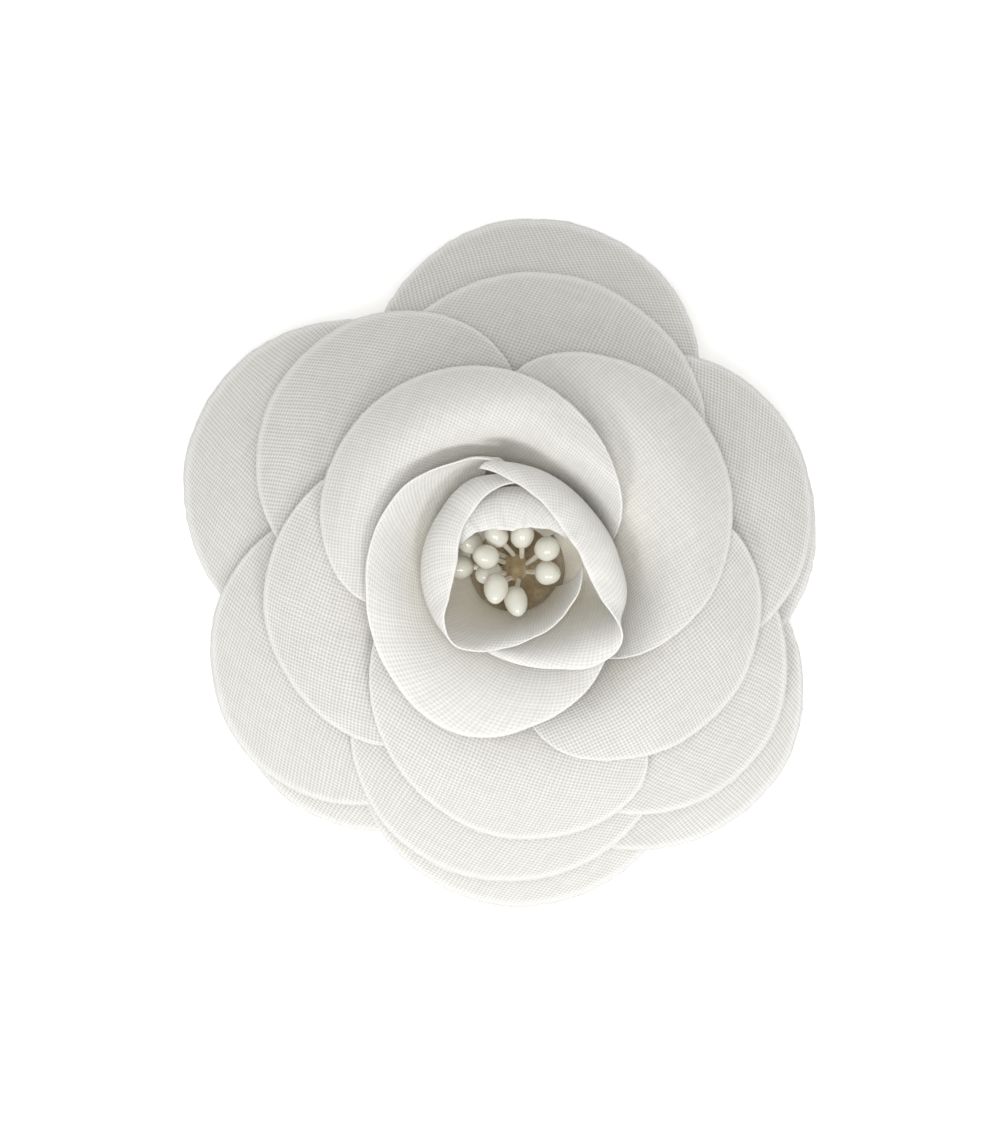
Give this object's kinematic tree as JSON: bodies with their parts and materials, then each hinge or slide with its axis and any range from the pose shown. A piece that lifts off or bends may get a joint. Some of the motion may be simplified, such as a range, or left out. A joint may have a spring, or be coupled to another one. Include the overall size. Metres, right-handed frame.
{
  "type": "flower hair clip",
  "caption": "Ivory fabric camellia with pearl-headed stamens on a felt-backed alligator hair clip with a sprung toothed jaw.",
  "frame": {"origin": "centre of the object's outline, at the table that it lies on face up", "axes": "+Z out of the flower's face, +Y towards the top of the flower as worn, X along the clip with the jaw's tip towards +X"},
  "size_m": [0.0922, 0.1003, 0.0388],
  "materials": {
    "petal_chiffon": "matte woven chiffon",
    "pearl": "glossy ivory pearl",
    "stamen_thread": "starched thread",
    "floral_tape": "waxed crepe tape",
    "core_wadding": "stiff wadding",
    "felt": "pressed felt",
    "hot_glue": "set glue",
    "clip_steel": "bright nickel plate",
    "pin_steel": "peened pin",
    "spring_wire": "drawn spring wire"
  },
  "bodies": {
    "flower": {"clip_upper_arm": "clip_steel", "cup_petal_1": "petal_chiffon", "cup_petal_2": "petal_chiffon", "cup_petal_3": "petal_chiffon", "cup_petal_4": "petal_chiffon", "felt_backing": "felt", "felt_patch": "felt", "flower_core": "core_wadding", "glue_pad": "hot_glue", "pearl_head_01": "pearl", "pearl_head_02": "pearl", "pearl_head_03": "pearl", "pearl_head_04": "pearl", "pearl_head_05": "pearl", "pearl_head_06": "pearl", "pearl_head_07": "pearl", "pearl_head_08": "pearl", "pearl_head_09": "pearl", "pearl_head_10": "pearl", "petal_01": "petal_chiffon", "petal_02": "petal_chiffon", "petal_03": "petal_chiffon", "petal_04": "petal_chiffon", "petal_05": "petal_chiffon", "petal_06": "petal_chiffon", "petal_07": "petal_chiffon", "petal_08": "petal_chiffon", "petal_09": "petal_chiffon", "petal_10": "petal_chiffon", "petal_11": "petal_chiffon", "petal_12": "petal_chiffon", "petal_13": "petal_chiffon", "petal_14": "petal_chiffon", "petal_15": "petal_chiffon", "petal_16": "petal_chiffon", "petal_17": "petal_chiffon", "pivot_pin": "pin_steel", "stamen_binding": "floral_tape", "stamen_threads_1": "stamen_thread", "stamen_threads_2": "stamen_thread", "stamen_threads_3": "stamen_thread", "stamen_threads_4": "stamen_thread", "stamen_threads_5": "stamen_thread", "torsion_spring": "spring_wire"},
    "jaw": {"clip_lower_arm": "clip_steel"}
  },
  "joints": [
    {"name": "jaw_hinge", "type": "hinge", "parent": "flower", "child": "jaw", "pos_m": [-0.011, 0, 0.0046], "axis": [0, 1, 0], "range_deg": [0, 24], "stiffness_Nm_per_rad": 0.05, "springref_deg": -34.38, "deforming": ["torsion_spring"]}
  ]
}
